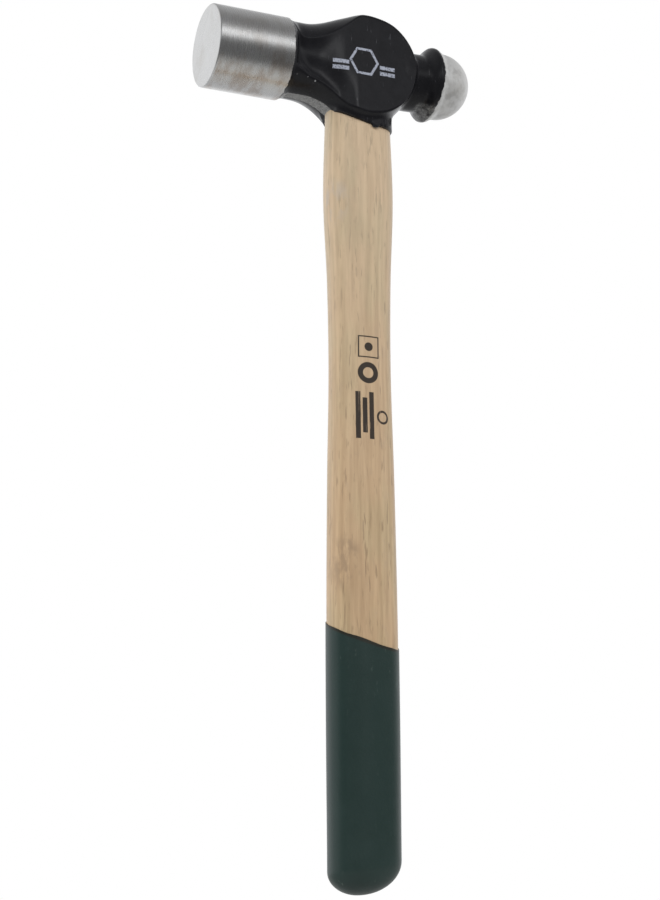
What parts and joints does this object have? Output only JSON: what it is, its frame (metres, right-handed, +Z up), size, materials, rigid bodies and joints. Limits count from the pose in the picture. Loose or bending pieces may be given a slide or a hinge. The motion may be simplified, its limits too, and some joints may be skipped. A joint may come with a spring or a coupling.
{
  "type": "ball peen hammer",
  "caption": "Ball peen hammer with a forged steel head, flat striking face, round ball, wedged oval wooden handle and a dipped green grip.",
  "frame": {"origin": "centre of the flat spot on the butt of the handle, on the handle's axis", "axes": "+Z up the handle to the head, -X towards the striking face, +X towards the ball, +Y and -Y through the cheeks"},
  "size_m": [0.1248, 0.036, 0.3796],
  "materials": {
    "head_steel": "ground and brushed poll, face and ball, black lacquer between them",
    "handle_wood": "pale ash, thinly varnished",
    "wedge_wood": "sawn hardwood",
    "wedge_steel": "dark mild steel",
    "grip_coat": "satin dark green dip"
  },
  "bodies": {
    "root": {"head": "head_steel", "handle": "handle_wood", "wooden_wedge": "wedge_wood", "steel_wedge_poll_side": "wedge_steel", "steel_wedge_ball_side": "wedge_steel", "grip_coat": "grip_coat"}
  },
  "joints": []
}
